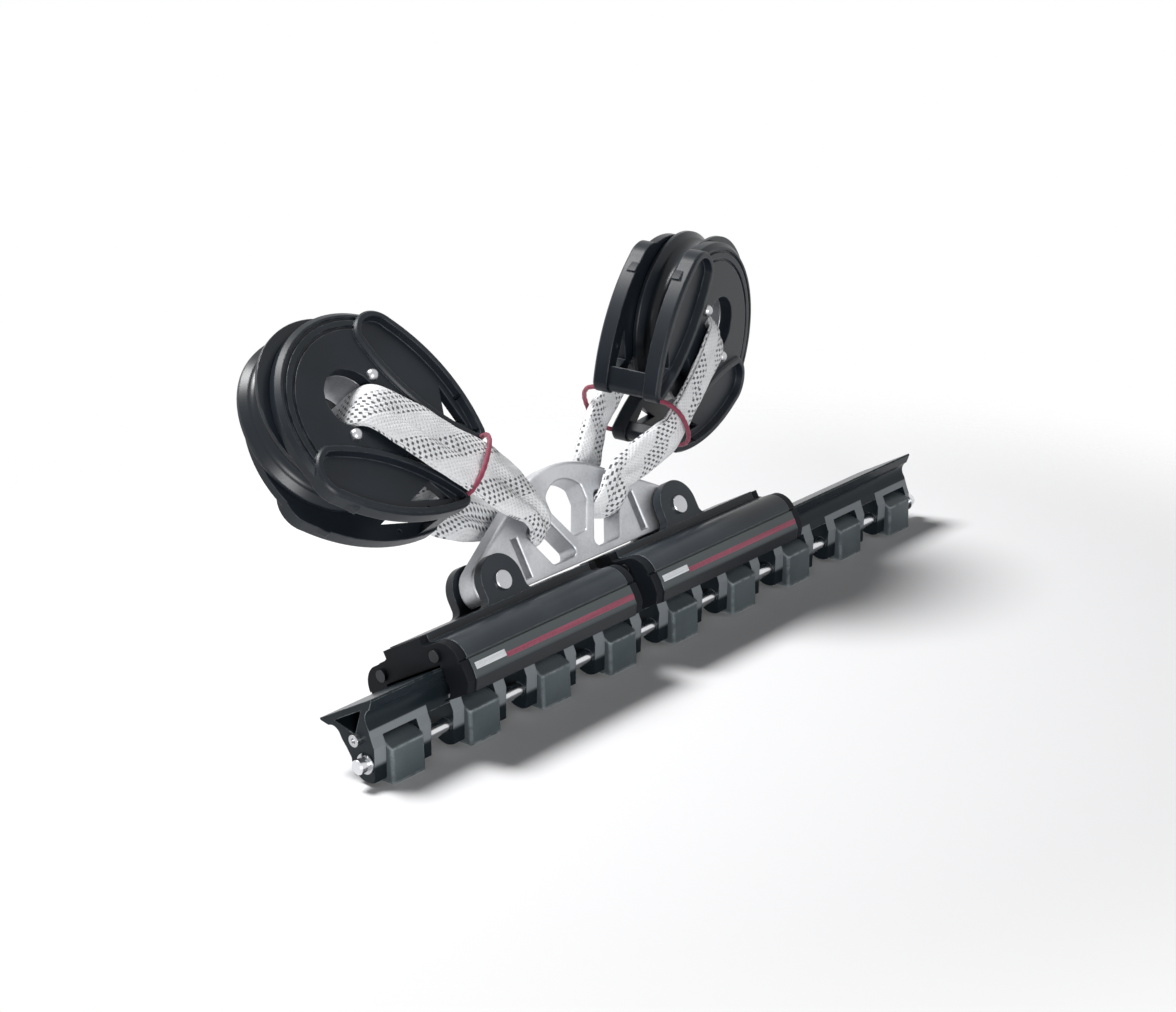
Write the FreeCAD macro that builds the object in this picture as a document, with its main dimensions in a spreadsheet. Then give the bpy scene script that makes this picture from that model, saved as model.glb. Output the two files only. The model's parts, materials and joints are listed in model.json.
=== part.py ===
import FreeCAD, Part
import math
import os

import Sketcher
from FreeCAD import Placement, Rotation, Vector

# A ball-bearing track car of the hinged kind: nine chocks on a deck carry a rod, the track tilts on
# the rod, two cars coupled by a bridge run on the track, and two loop blocks hang on the bridge.
# Origin on the deck below the middle chock, X along the track, Z up. Near means towards -Y.

doc = FreeCAD.newDocument("track_car")

SIZES = [
    # Deck chocks and hinge rod
    ("chock_count", 9),
    ("chock_pitch", 50.0),
    ("chock_length", 20.4),
    ("chock_depth", 16.9),
    ("chock_edge", 1.2),
    ("rod_height", 11.1),
    ("rod_radius", 3.5),
    ("rod_overhang", 14.2),
    ("rod_chamfer", 0.8),
    ("running_gap", 0.08),
    ("stop_distance", 9.0),
    ("stop_gap", 0.3),
    ("stop_angle", 27.44),
    ("screw_hole_radius", 2.5),
    ("screw_hole_depth", 6.0),
    ("ring_wall", 1.0),
    ("ring_groove_depth", 0.5),
    ("ring_height", 1.4),
    ("ring_gap", 0.1),
    ("ring_opening", 3.8),
    # Track
    ("leg_length", 7.6),
    ("track_head_top", 25.8),
    ("track_head_half", 19.1),
    ("track_tip", 1.0),
    ("race_radius", 5.3),
    ("race_offset", 15.15),
    ("race_height", 16.15),
    ("waist_half", 9.85),
    ("waist_height", 13.7),
    ("wall_half", 9.0),
    ("knuckle_radius", 9.6),
    ("knuckle_angle", 27.75),
    ("window_gap", 0.3),
    ("hollow_half", 10.0),
    ("hollow_top", 22.7),
    ("hollow_bottom", 13.4),
    ("far_overhang", 4.0),
    ("end_screw_rise", 11.3),
    ("end_screw_radius", 1.5),
    ("end_screw_length", 9.0),
    ("end_screw_head", 2.9),
    ("end_screw_height", 2.4),
    ("end_screw_socket", 1.3),
    # Cars
    ("car_length", 122.8),
    ("car_gap", 11.5),
    ("carriage_start", -46.0),
    ("cap_thickness", 5.0),
    ("cap_inset", 0.4),
    ("deck_top", 42.2),
    ("deck_half", 13.7),
    ("shoulder_height", 37.5),
    ("shoulder_half", 16.0),
    ("barrel_radius", 11.3),
    ("barrel_offset", 22.4),
    ("barrel_height", 26.0),
    ("barrel_angle", 78.5),
    ("facet_half", 34.5),
    ("facet_height", 20.0),
    ("sill_half", 34.0),
    ("sill_height", 15.0),
    ("car_bottom_half", 30.6),
    ("car_bottom", 10.2),
    ("head_clearance", 1.1),
    ("lip_top_angle", 53.0),
    ("lip_bottom_angle", 74.0),
    ("ball_radius", 4.9),
    ("ball_gap", 0.3),
    ("ball_count", 8),
    ("return_offset", 28.0),
    ("return_height", 22.5),
    ("groove_width", 1.0),
    ("groove_depth", 0.8),
    ("cap_screw_radius", 1.6),
    ("cap_screw_head", 3.0),
    ("cap_screw_length", 8.0),
    ("cap_screw_offset", 20.0),
    ("cap_screw_height", 31.5),
    # Ears and hinge pins
    ("pin_height", 50.8),
    ("ear_radius", 13.2),
    ("ear_outer", 13.5),
    ("ear_thickness", 5.3),
    ("ear_foot", 17.2),
    ("ear_foot_radius", 4.0),
    ("pin_radius", 3.9),
    ("pin_head_radius", 4.9),
    ("pin_head_height", 1.4),
    ("pin_tail", 2.6),
    # Bridge
    ("bridge_half", 6.5),
    ("arch_top", 93.8),
    ("arch_radius", 58.0),
    ("arch_slope", 29.4),
    ("eye_radius", 12.0),
    ("bridge_bottom", 43.4),
    ("bridge_edge", 2.5),
    ("band_height", 13.8),
    ("side_window_inner", 20.9),
    ("side_window_width", 16.9),
    ("side_window_bottom", 47.5),
    ("middle_window_top", 85.3),
    ("middle_window_half", 13.2),
    ("middle_window_shoulder", 79.0),
    ("middle_window_waist", 71.5),
    ("middle_window_bottom", 57.0),
    ("middle_window_foot", 4.5),
    ("window_corner", 3.0),
    ("window_edge", 1.2),
    ("slot_offset", 43.75),
    ("slot_width", 4.0),
    ("slot_bottom", 46.5),
    ("slot_top", 66.5),
    # Loop blocks
    ("sheave_radius", 46.0),
    ("sheave_half", 9.5),
    ("groove_half", 5.2),
    ("groove_mouth", 4.7),
    ("groove_radius", 43.0),
    ("rim_half", 7.6),
    ("hub_radius", 25.5),
    ("roller_radius", 1.7),
    ("roller_gap", 0.06),
    ("sheave_gap", 0.3),
    ("roller_half", 8.0),
    ("roller_count", 18),
    ("hole_radius", 15.3),
    ("hole_half", 13.5),
    ("saddle_drop", 7.2),
    ("hub_gap", 0.3),
    ("cheek_radius", 54.5),
    ("cheek_drop", 15.0),
    ("cheek_inner", 10.5),
    ("cheek_outer", 17.0),
    ("cheek_bevel", 2.2),
    ("cheek_front", 18.0),
    ("web_half", 20.0),
    ("web_drop", 34.0),
    ("saddle_radius", 6.0),
    ("rim_groove_radius", 49.5),
    ("rim_groove_width", 1.6),
    ("rim_groove_depth", 1.2),
    ("second_groove_radius", 45.0),
    ("lobe_outer", 19.0),
    ("lobe_tip_outer", 24.0),
    ("lobe_tip_inner", 14.8),
    ("lobe_tip_drop", 69.0),
    ("lobe_tip_rise", 2.0),
    ("lobe_tip_radius", 6.0),
    ("lobe_rear_outer", 55.0),
    ("lobe_rear_inner", 33.0),
    ("lobe_rear_drop", 7.0),
    ("lobe_rear_radius", 14.0),
    ("lobe_outer_radius", 93.0),
    ("lobe_inner_radius", 105.0),
    ("lobe_wall", 3.6),
    ("lobe_recess", 3.8),
    ("lobe_edge", 1.1),
    ("lobe_hole_radius", 1.1),
    ("lobe_hole_offset", 33.8),
    ("lobe_hole_drop", 51.6),
    ("lobe_window_rear", 35.5),
    ("lobe_window_rear_drop", 41.5),
    ("lobe_window_waist", 19.6),
    ("lobe_window_waist_drop", 48.5),
    ("lobe_window_tip", 22.5),
    ("lobe_window_tip_drop", 61.0),
    ("bar_inset", 1.2),
    ("bar_top", 61.5),
    ("bar_drop", 65.0),
    ("bar_offset", 20.6),
    ("bar_screw_radius", 1.5),
    ("hub_screw_radius", 2.0),
    ("hub_screw_head", 3.2),
    ("hub_screw_offset", 18.4),
    ("hub_screw_rise", -6.2),
    ("left_lean", -43.3),
    ("left_swing", -6.7),
    ("left_twist", 6.9),
    ("left_reach", 104.5),
    ("right_lean", 56.0),
    ("right_swing", 9.9),
    ("right_twist", 32.8),
    ("right_reach", 113.5),
    # Woven loops and their retaining lines
    ("loop_width", 26.0),
    ("loop_thickness", 9.0),
    ("loop_neck", 15.0),
    ("loop_waist", 22.0),
    ("loop_gap", 0.3),
    ("loop_corner", 2.4),
    ("band_clearance", 3.0),
    ("line_radius", 1.2),
    ("line_offset", 17.5),
    ("line_drop", 68.0),
    ("line_height", 29.5),
    ("line_leg_width", 22.0),
]

sheet = doc.addObject("Spreadsheet::Sheet", "Sizes")
for row, (alias, value) in enumerate(SIZES, start=1):
    sheet.set("A%d" % row, alias)
    sheet.set("B%d" % row, str(value))
    sheet.setAlias("B%d" % row, alias)
doc.recompute()


class Size:
    """A number together with the spreadsheet formula that gives it."""

    def __init__(self, number, formula):
        self.number = float(number)
        self.formula = formula

    def __add__(self, other):
        other = as_size(other)
        return Size(self.number + other.number, "(%s + %s)" % (self.formula, other.formula))

    def __sub__(self, other):
        other = as_size(other)
        return Size(self.number - other.number, "(%s - %s)" % (self.formula, other.formula))

    def __mul__(self, other):
        other = as_size(other)
        return Size(self.number * other.number, "(%s * %s)" % (self.formula, other.formula))

    def __truediv__(self, other):
        other = as_size(other)
        return Size(self.number / other.number, "(%s / %s)" % (self.formula, other.formula))

    def __neg__(self):
        return Size(-self.number, "(0 - %s)" % self.formula)

    def __radd__(self, other):
        return as_size(other) + self

    def __rsub__(self, other):
        return as_size(other) - self

    def __rmul__(self, other):
        return as_size(other) * self

    def root(self):
        return Size(math.sqrt(self.number), "sqrt(%s)" % self.formula)

    def sine(self):
        return Size(math.sin(math.radians(self.number)), "sin(%s * 1 deg)" % self.formula)

    def cosine(self):
        return Size(math.cos(math.radians(self.number)), "cos(%s * 1 deg)" % self.formula)


def as_size(value):
    """A plain number as a Size."""
    if isinstance(value, Size):
        return value
    return Size(value, repr(float(value)))


class Sizes:
    """Each alias of the sheet as an attribute."""


s = Sizes()
for alias, value in SIZES:
    setattr(s, alias, Size(sheet.get(alias), "Sizes." + alias))

pieces = []


def bind(item, prop, size):
    """Set a property and tie it to its formula."""
    size = as_size(size)
    setattr(item, prop, size.number)
    item.setExpression(prop, size.formula)


def new_body(label):
    body = doc.addObject("PartDesign::Body", label)
    body.Label = label
    pieces.append(body)
    return body


def origin_part(body, role):
    return next(part for part in body.Origin.OriginFeatures if part.Role == role)


def new_sketch(body, name, plane, offset=0):
    """A sketch on one of the body's own planes, moved along the plane's normal."""
    sketch = body.newObject("Sketcher::SketchObject", body.Label + "_" + name)
    sketch.AttachmentSupport = [(origin_part(body, plane), "")]
    sketch.MapMode = "FlatFace"
    bind_offset(sketch, offset)
    return sketch


def bind_offset(sketch, offset):
    size = as_size(offset)
    sketch.AttachmentOffset = Placement(Vector(0, 0, size.number), Rotation())
    sketch.setExpression("AttachmentOffset.Base.z", size.formula)


def fix_point(sketch, geometry, point, x, y):
    """Tie one point of a sketch to its two coordinates."""
    for kind, size in (("DistanceX", as_size(x)), ("DistanceY", as_size(y))):
        index = sketch.addConstraint(Sketcher.Constraint(kind, geometry, point, size.number))
        sketch.setExpression("Constraints[%d]" % index, size.formula)


def fix_radius(sketch, geometry, radius):
    index = sketch.addConstraint(Sketcher.Constraint("Radius", geometry, radius.number))
    sketch.setExpression("Constraints[%d]" % index, radius.formula)


def arc_centre(start, end, radius, side):
    """Centre of the short arc from start to end, on the left when side is 1, else on the right."""
    chord = end - start
    height = math.sqrt(radius * radius - chord.Length * chord.Length / 4)
    across = Vector(-chord.y, chord.x, 0).normalize()
    return (start + end) / 2 + across * (height * side)


def arc_between(start, end, radius, side):
    centre = arc_centre(start, end, radius, side)
    first, last = (start, end) if side > 0 else (end, start)
    angles = [math.atan2(point.y - centre.y, point.x - centre.x) for point in (first, last)]
    return Part.ArcOfCircle(Part.Circle(centre, Vector(0, 0, 1), radius), angles[0], angles[1])


def draw_outline(sketch, corners):
    """A closed outline. A corner is (x, y), or (x, y, radius, side) when an arc arrives there."""
    spots = [Vector(as_size(c[0]).number, as_size(c[1]).number, 0) for c in corners]
    first = sketch.GeometryCount
    ends = []
    for index, corner in enumerate(corners):
        start, end = spots[index - 1], spots[index]
        if len(corner) == 2:
            sketch.addGeometry(Part.LineSegment(start, end), False)
            ends.append((1, 2))
        else:
            radius = as_size(corner[2])
            sketch.addGeometry(arc_between(start, end, radius.number, corner[3]), False)
            ends.append((1, 2) if corner[3] > 0 else (2, 1))
    for index, corner in enumerate(corners):
        here = first + index
        following = first + (index + 1) % len(corners)
        joint = (here, ends[index][1], following, ends[(index + 1) % len(corners)][0])
        sketch.addConstraint(Sketcher.Constraint("Coincident", *joint))
        fix_point(sketch, here, ends[index][1], corner[0], corner[1])
    for index, corner in enumerate(corners):
        if len(corner) == 4:
            fix_radius(sketch, first + index, as_size(corner[2]))


def draw_circle(sketch, x, y, radius):
    centre = Vector(as_size(x).number, as_size(y).number, 0)
    geometry = sketch.addGeometry(Part.Circle(centre, Vector(0, 0, 1), as_size(radius).number), False)
    fix_point(sketch, geometry, 3, x, y)
    fix_radius(sketch, geometry, as_size(radius))


def draw_box(sketch, x_low, y_low, x_high, y_high):
    draw_outline(sketch, [(x_low, y_low), (x_high, y_low), (x_high, y_high), (x_low, y_high)])


def mirrored(half):
    """Both halves of an outline from the half on the right, which runs from bottom to top."""
    left = []
    for index in range(len(half) - 1, -1, -1):
        x, y = half[index][:2]
        arriving = half[index + 1] if index + 1 < len(half) else ()
        left.append((-x, y) + tuple(arriving[2:]))
    return list(half) + left


def add_feature(body, kind, name, sketch, **sizes):
    feature = body.newObject("PartDesign::" + kind, body.Label + "_" + name)
    feature.Profile = sketch
    for prop, size in sizes.items():
        bind(feature, prop, size)
    return feature


def pad_both(body, name, sketch, length):
    feature = add_feature(body, "Pad", name, sketch, Length=length)
    feature.SideType = "Symmetric"
    return feature


def pad_up(body, name, sketch, length, backwards=False):
    feature = add_feature(body, "Pad", name, sketch, Length=length)
    feature.Reversed = backwards
    return feature


def cut_through(body, name, sketch):
    feature = add_feature(body, "Pocket", name, sketch)
    feature.Type = "ThroughAll"
    feature.SideType = "Symmetric"
    return feature


def cut_down(body, name, sketch, length, backwards=False):
    feature = add_feature(body, "Pocket", name, sketch, Length=length)
    feature.Reversed = backwards
    return feature


def join_outlines(body, kind, name, start, end):
    """Add or take away the straight-sided form between two outlines of the same corners."""
    feature = body.newObject("PartDesign::" + kind, body.Label + "_" + name)
    feature.Profile = start
    feature.Sections = [end]
    feature.Ruled = True
    return feature


def turn(body, name, sketch, axis):
    feature = add_feature(body, "Revolution", name, sketch)
    feature.ReferenceAxis = (sketch, [axis])
    feature.Angle = 360
    return feature


def round_edges(body, name, radius, wanted):
    """Round the edges of the body's last feature that the test picks."""
    doc.recompute()
    tip = body.Tip
    names = ["Edge%d" % (i + 1) for i, edge in enumerate(tip.Shape.Edges) if wanted(edge)]
    feature = body.newObject("PartDesign::Fillet", body.Label + "_" + name)
    feature.Base = (tip, names)
    bind(feature, "Radius", radius)
    return feature


def runs_along(edge, direction):
    """True for a straight edge parallel to the direction."""
    if not isinstance(edge.Curve, Part.Line):
        return False
    return abs(edge.Curve.Direction.dot(direction)) > 0.999


X_WAY = Vector(1, 0, 0)
Y_WAY = Vector(0, 1, 0)

chock_row = s.chock_pitch * (s.chock_count - 1)
window_top = s.stop_distance + s.stop_gap
TRACK = Placement(Vector(0, 0, s.rod_height.number), Rotation(X_WAY, -s.stop_angle.number))


# Chocks: castings with a rounded roof between two stop faces, a bore for the rod and a screw hole
def make_chock(index):
    body = new_body("chock_%d" % (index + 1))
    half = s.chock_depth / 2
    slope = s.stop_angle.sine() / s.stop_angle.cosine()
    eave = s.rod_height + s.stop_distance / s.stop_angle.cosine() - half * slope
    crest = s.stop_distance * s.stop_angle.sine()
    crest_height = s.rod_height + s.stop_distance * s.stop_angle.cosine()
    profile = new_sketch(body, "profile", "YZ_Plane")
    draw_outline(profile, [
        (-half, 0),
        (half, 0),
        (half, eave),
        (crest, crest_height),
        (-crest, crest_height, s.stop_distance, 1),
        (-half, eave),
    ])
    pad_both(body, "block", profile, s.chock_length)
    bore = new_sketch(body, "bore", "YZ_Plane")
    draw_circle(bore, 0, s.rod_height, s.rod_radius + s.running_gap)
    cut_through(body, "rod_bore", bore)
    screw = new_sketch(body, "screw", "XY_Plane")
    draw_circle(screw, 0, 0, s.screw_hole_radius)
    cut_down(body, "screw_hole", screw, s.screw_hole_depth, backwards=True)
    round_edges(body, "cast_edges", s.chock_edge,
                lambda edge: runs_along(edge, Vector(0, 0, 1)) and edge.Length > s.chock_edge.number)
    body.Placement = Placement(Vector(s.chock_pitch.number * index - chock_row.number / 2, 0, 0), Rotation())


for index in range(int(s.chock_count.number)):
    make_chock(index)


# Hinge rod: turned bar with a ring groove and a chamfer at each end
rod_half = (chock_row + s.chock_length) / 2 + s.rod_overhang
ring_spot = (chock_row + s.chock_length) / 2 + s.leg_length + s.window_gap
groove_floor = s.rod_radius - s.ring_groove_depth


def half_rod(radius, length, ring, floor, chamfer):
    """Upper outline of a turned pin or rod, from its middle to its end, with one ring groove."""
    return [(length, 0), (length, radius - chamfer), (length - chamfer, radius),
            (ring + s.ring_wall, radius), (ring + s.ring_wall, floor), (ring, floor), (ring, radius)]


rod = new_body("hinge_rod")
right = half_rod(s.rod_radius, rod_half, ring_spot, groove_floor, s.rod_chamfer)
left = [(-x, y) for x, y in reversed(right)]
rod_profile = new_sketch(rod, "profile", "XZ_Plane")
draw_outline(rod_profile, right + left)
turn(rod, "bar", rod_profile, "H_Axis")
rod.Placement = Placement(Vector(0, 0, s.rod_height.number), Rotation())


def make_ring(label, shaft_radius, floor, spot, place):
    """A round retaining ring in its groove; spot is its near face along the shaft."""
    body = new_body(label)
    profile = new_sketch(body, "profile", "YZ_Plane")
    draw_circle(profile, 0, 0, shaft_radius + s.ring_height)
    draw_circle(profile, 0, 0, floor + s.running_gap)
    pad_up(body, "plate", profile, s.ring_wall - s.ring_gap)
    gap = new_sketch(body, "gap", "XZ_Plane")
    draw_box(gap, -s.ring_wall, 0, s.ring_wall * 2, shaft_radius + s.ring_height * 2)
    slit = add_feature(body, "Pocket", "opening", gap, Length=s.ring_opening)
    slit.SideType = "Symmetric"
    body.Placement = place.multiply(Placement(Vector(spot.number, 0, 0), Rotation()))


make_ring("right_rod_ring", s.rod_radius, groove_floor, ring_spot + s.ring_gap / 2, rod.Placement)
half_turn = Placement(Vector(0, 0, s.rod_height.number), Rotation(Vector(0, 0, 1), 180))
make_ring("left_rod_ring", s.rod_radius, groove_floor, ring_spot + s.ring_gap / 2, half_turn)


# Track: mushroom-headed extrusion with a hollow head, cut away below into legs round the rod
track = new_body("track")
track_low = -(chock_row + s.chock_length) / 2 - s.leg_length
track_high = (chock_row + s.chock_length) / 2 + s.far_overhang
knuckle_side = s.knuckle_radius * s.knuckle_angle.cosine()
knuckle_rise = s.knuckle_radius * s.knuckle_angle.sine()
track_half = [
    (0, -s.knuckle_radius),
    (knuckle_side, knuckle_rise, s.knuckle_radius, 1),
    (s.wall_half, window_top),
    (s.waist_half, s.waist_height),
    (s.waist_half, s.race_height),
    (s.race_offset, s.race_height + s.race_radius, s.race_radius, -1),
    (s.track_head_half, s.track_head_top - s.track_tip),
    (s.track_head_half, s.track_head_top),
]
section = new_sketch(track, "section", "YZ_Plane", track_low)
draw_outline(section, mirrored(track_half)[:-1])
draw_outline(section, [(s.hollow_half, s.hollow_top), (-s.hollow_half, s.hollow_top), (0, s.hollow_bottom)])
draw_circle(section, 0, 0, s.rod_radius + s.running_gap)
pad_up(track, "extrusion", section, track_high - track_low)
windows = new_sketch(track, "windows", "XZ_Plane")
for index in range(int(s.chock_count.number)):
    middle = s.chock_pitch * index - chock_row / 2
    side = s.chock_length / 2 + s.window_gap
    draw_box(windows, middle - side, -s.knuckle_radius * 2, middle + side, window_top)
for index in range(int(s.chock_count.number) - 1):
    middle = s.chock_pitch * (index + 0.5) - chock_row / 2
    side = (s.chock_pitch - s.chock_length) / 2 - s.leg_length
    draw_box(windows, middle - side, -s.knuckle_radius * 2, middle + side, window_top)
cut_through(track, "leg_windows", windows)
for name, end, way in (("left", track_low, False), ("right", track_high, True)):
    drilled = new_sketch(track, name + "_end_hole", "YZ_Plane", end)
    draw_circle(drilled, 0, s.end_screw_rise, s.end_screw_radius + s.running_gap)
    cut_down(track, name + "_end_drilling", drilled, s.end_screw_length + s.stop_gap, backwards=not way)
track.Placement = TRACK


def make_group(label, shapes, place):
    """One node that holds several separate solids."""
    item = doc.addObject("Part::Feature", label)
    item.Label = label
    item.Shape = Part.makeCompound(shapes)
    item.Placement = place
    pieces.append(item)


def end_screws():
    """A socket-headed screw in each end of the track, above the rod."""
    screws = []
    for end, outward in ((track_low, -1), (track_high, 1)):
        face = Vector(end.number, 0, s.end_screw_rise.number)
        way = Vector(outward, 0, 0)
        shank = Part.makeCylinder(s.end_screw_radius.number, s.end_screw_length.number, face, -way)
        head = Part.makeCylinder(s.end_screw_head.number, s.end_screw_height.number, face, way)
        mouth = face + way * (s.end_screw_height.number / 2)
        socket = Part.makeCylinder(s.end_screw_socket.number, s.end_screw_height.number, mouth, way)
        screws.append(shank.fuse(head).cut(socket).removeSplitter())
    return screws


make_group("track_end_screws", end_screws(), TRACK)


# Cars: an extruded shell with ball races and two ears, closed by a moulded cap at each end
shell_length = s.car_length - s.cap_thickness * 2
pin_spacing = s.car_length + s.car_gap
barrel_side = s.barrel_offset + s.barrel_radius
barrel_top = s.barrel_height + s.barrel_radius * s.barrel_angle.sine()
barrel_start = s.barrel_offset + s.barrel_radius * s.barrel_angle.cosine()
lip_race = s.race_radius - s.ball_gap


def outer_half(inset):
    """Right half of the car's outer section, from the lip up to the middle of the top."""
    return [
        (s.car_bottom_half - inset, s.car_bottom + inset),
        (s.sill_half - inset, s.sill_height + inset),
        (s.facet_half - inset, s.facet_height),
        (barrel_side + s.groove_width / 2 - inset, s.barrel_height - s.groove_width),
        (barrel_side - s.groove_depth - inset, s.barrel_height - s.groove_width),
        (barrel_side - s.groove_depth - inset, s.barrel_height),
        (barrel_side - inset, s.barrel_height),
        (barrel_start, barrel_top - inset, s.barrel_radius - inset, 1),
        (s.shoulder_half - inset, s.shoulder_height - inset),
        (s.deck_half - inset, s.shoulder_height + s.groove_width - inset),
        (s.deck_half - inset, s.deck_top - inset),
    ]


def inner_half(inset):
    """Left side of the cavity round the track's head, from the lip up to its roof."""
    wall = -s.track_head_half - s.head_clearance
    race_top = s.race_height + lip_race * s.lip_top_angle.sine()
    lip = -s.race_offset + lip_race * s.lip_bottom_angle.cosine()
    return [
        (lip, s.car_bottom + inset),
        (lip, s.race_height - lip_race * s.lip_bottom_angle.sine()),
        (-s.race_offset - lip_race, s.race_height, lip_race, -1),
        (-s.race_offset - lip_race * s.lip_top_angle.cosine(), race_top, lip_race, -1),
        (wall, race_top),
        (wall, s.track_head_top + s.head_clearance),
    ]


def draw_car_section(sketch, inset):
    """The full section: an arch that opens downwards round the track."""
    draw_outline(sketch, mirrored(outer_half(inset)) + mirrored(inner_half(inset)))


def make_shell(label, place):
    body = new_body(label)
    profile = new_sketch(body, "section", "YZ_Plane")
    draw_car_section(profile, 0)
    for side in (-1, 1):
        draw_circle(profile, s.return_offset * side, s.return_height, lip_race)
    pad_both(body, "extrusion", profile, shell_length)
    foot = s.deck_top - s.ear_foot_radius / 2
    foot_top = s.deck_top + s.ear_foot_radius
    ear = [
        (s.ear_foot, foot),
        (s.ear_foot, s.deck_top),
        (s.ear_radius, foot_top, s.ear_foot_radius, -1),
        (s.ear_radius, s.pin_height),
        (0, s.pin_height + s.ear_radius, s.ear_radius, 1),
        (-s.ear_radius, s.pin_height, s.ear_radius, 1),
        (-s.ear_radius, foot_top),
        (-s.ear_foot, s.deck_top, s.ear_foot_radius, -1),
        (-s.ear_foot, foot),
    ]
    for name, start in (("near_ear", s.ear_outer - s.ear_thickness), ("far_ear", -s.ear_outer)):
        drawing = new_sketch(body, name + "_outline", "XZ_Plane", start)
        draw_outline(drawing, ear)
        pad_up(body, name, drawing, s.ear_thickness)
    hole = new_sketch(body, "pin_hole", "XZ_Plane")
    draw_circle(hole, 0, s.pin_height, s.pin_radius + s.running_gap)
    cut_through(body, "pin_holes", hole)
    screws = new_sketch(body, "screw_holes", "YZ_Plane")
    for side in (-1, 1):
        draw_circle(screws, s.cap_screw_offset * side, s.cap_screw_height, s.cap_screw_radius + s.running_gap)
    cut_through(body, "cap_screw_holes", screws)
    body.Placement = place


def make_cap(label, place):
    """An end cap: the shell's section with the same cavity, set in by a hair, and two screw holes."""
    body = new_body(label)
    profile = new_sketch(body, "section", "YZ_Plane")
    draw_car_section(profile, s.cap_inset)
    for side in (-1, 1):
        draw_circle(profile, s.cap_screw_offset * side, s.cap_screw_height, s.cap_screw_radius + s.running_gap)
    pad_up(body, "plate", profile, s.cap_thickness)
    body.Placement = place


def ball_rows():
    """Two rows of balls in the loaded races of one car."""
    pitch = shell_length.number / s.ball_count.number
    balls = []
    for side in (-1, 1):
        for index in range(int(s.ball_count.number)):
            centre = Vector((index + 0.5) * pitch - shell_length.number / 2, s.race_offset.number * side,
                            s.race_height.number)
            balls.append(Part.makeSphere(s.ball_radius.number, centre))
    return balls


def cap_screws():
    """Four pan-headed screws that hold the two end caps."""
    screws = []
    for end in (-1, 1):
        for side in (-1, 1):
            face = Vector(end * s.car_length.number / 2, s.cap_screw_offset.number * side,
                          s.cap_screw_height.number)
            inward = Vector(-end, 0, 0)
            shank = Part.makeCylinder(s.cap_screw_radius.number, s.cap_screw_length.number, face, inward)
            head = Part.makeCylinder(s.cap_screw_head.number, s.cap_screw_radius.number, face, -inward)
            screws.append(shank.fuse(head).removeSplitter())
    return screws


def make_pin(label, place):
    """A headed hinge pin along Y, its head on the near ear and a ring groove past the far one."""
    body = new_body(label)
    face = s.ear_outer
    groove = face + s.ring_gap
    floor = s.pin_radius - s.ring_groove_depth
    profile = new_sketch(body, "profile", "XY_Plane")
    draw_outline(profile, [
        (0, -face - s.pin_head_height),
        (s.pin_head_radius - s.rod_chamfer / 2, -face - s.pin_head_height),
        (s.pin_head_radius, -face - s.pin_head_height + s.rod_chamfer / 2),
        (s.pin_head_radius, -face),
        (s.pin_radius, -face),
        (s.pin_radius, groove),
        (floor, groove),
        (floor, groove + s.ring_wall),
        (s.pin_radius, groove + s.ring_wall),
        (s.pin_radius, face + s.pin_tail - s.rod_chamfer / 2),
        (s.pin_radius - s.rod_chamfer / 2, face + s.pin_tail),
        (0, face + s.pin_tail),
    ])
    turn(body, "shank", profile, "V_Axis")
    body.Placement = place
    across = Placement(Vector(0, 0, 0), Rotation(Vector(0, 0, 1), 90))
    make_ring(label + "_ring", s.pin_radius, floor, groove + s.ring_gap / 2, place.multiply(across))


def along_track(x, z=0):
    """Placement in the tilted track's frame, x from the middle chock and z from the rod."""
    return TRACK.multiply(Placement(Vector(x, 0, z), Rotation()))


for label, side in (("left", -1), ("right", 1)):
    middle = s.carriage_start.number + side * pin_spacing.number / 2
    edge = shell_length.number / 2
    make_shell(label + "_car_shell", along_track(middle))
    turned = Placement(Vector(-edge, 0, 0), Rotation(Vector(0, 0, 1), 180))
    make_cap(label + "_car_left_cap", along_track(middle).multiply(turned))
    make_cap(label + "_car_right_cap", along_track(middle + edge))
    make_group(label + "_car_balls", ball_rows(), along_track(middle))
    make_group(label + "_car_cap_screws", cap_screws(), along_track(middle))
    make_pin(label + "_hinge_pin", along_track(middle, s.pin_height.number))


# Bridge: a plate with an arched top, three windows, two slots and an eye for each hinge pin
slope_sine = s.arch_slope.sine()
slope_cosine = s.arch_slope.cosine()
arch_centre = s.arch_top - s.arch_radius
eye_x = pin_spacing / 2
eye_drop = s.pin_height - s.bridge_bottom
eye_side = (s.eye_radius * s.eye_radius - eye_drop * eye_drop).root()
band_x = s.side_window_inner + s.side_window_width * slope_cosine / 2 + s.band_height / 2 * slope_sine
band_mid_drop = s.arch_radius - s.band_height / 2
band_run = (band_x - band_mid_drop * slope_sine) / slope_cosine
band_z = arch_centre + band_mid_drop * slope_cosine - band_run * slope_sine


def along_band(run, drop):
    """A point of the bridge: run along the right slope from its tangent point, drop below it."""
    depth = s.arch_radius - drop
    return (depth * slope_sine + run * slope_cosine, arch_centre + depth * slope_cosine - run * slope_sine)


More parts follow.
